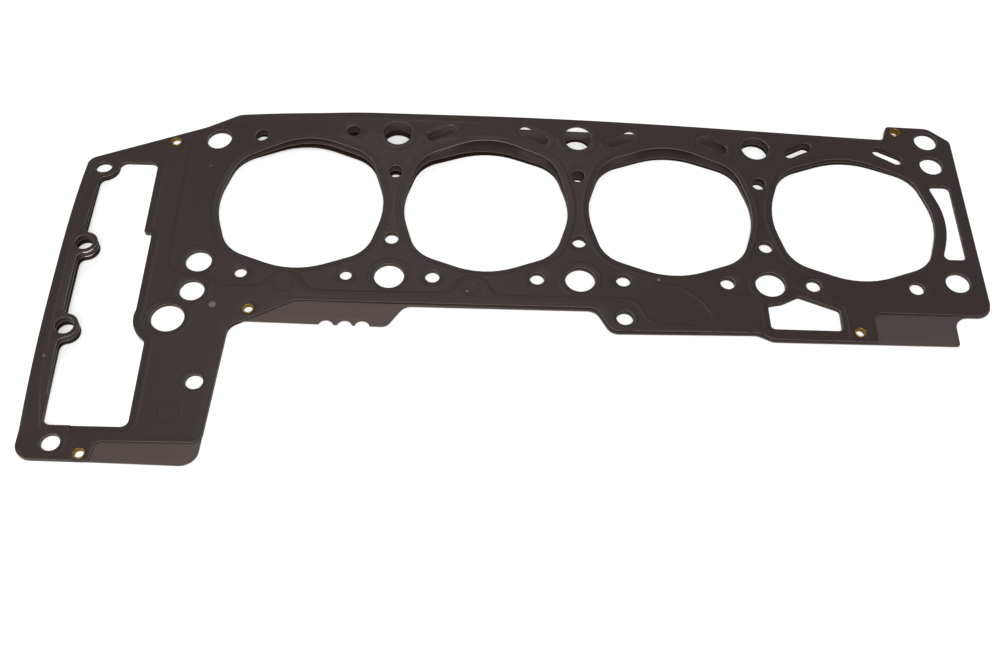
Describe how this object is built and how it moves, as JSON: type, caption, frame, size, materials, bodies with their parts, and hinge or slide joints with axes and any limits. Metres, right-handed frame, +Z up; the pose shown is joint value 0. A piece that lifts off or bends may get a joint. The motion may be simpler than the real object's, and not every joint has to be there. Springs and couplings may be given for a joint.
{
  "type": "cylinder head gasket",
  "caption": "Multi-layer steel head gasket with rounded bore openings, embossed beads, coolant slots, brass eyelets and a window for the timing chain",
  "frame": {"origin": "middle of the row of bores on the underside of the bottom sheet", "axes": "+X along the bore row away from the chain window, +Y to the long plain edge, +Z up to the cylinder head"},
  "size_m": [0.507, 0.2403, 0.0138],
  "materials": {
    "coated_facing_steel": "satin, thin dark elastomer coat on spring steel",
    "spacer_steel": "dull, rolled",
    "eyelet_brass": "satin"
  },
  "bodies": {
    "root": {"top_layer": "coated_facing_steel", "middle_layer": "spacer_steel", "bottom_layer": "coated_facing_steel", "eyelet_near_left": "eyelet_brass", "eyelet_near_middle": "eyelet_brass", "eyelet_near_right": "eyelet_brass", "eyelet_far_right": "eyelet_brass", "eyelet_far_left": "eyelet_brass"}
  },
  "joints": []
}
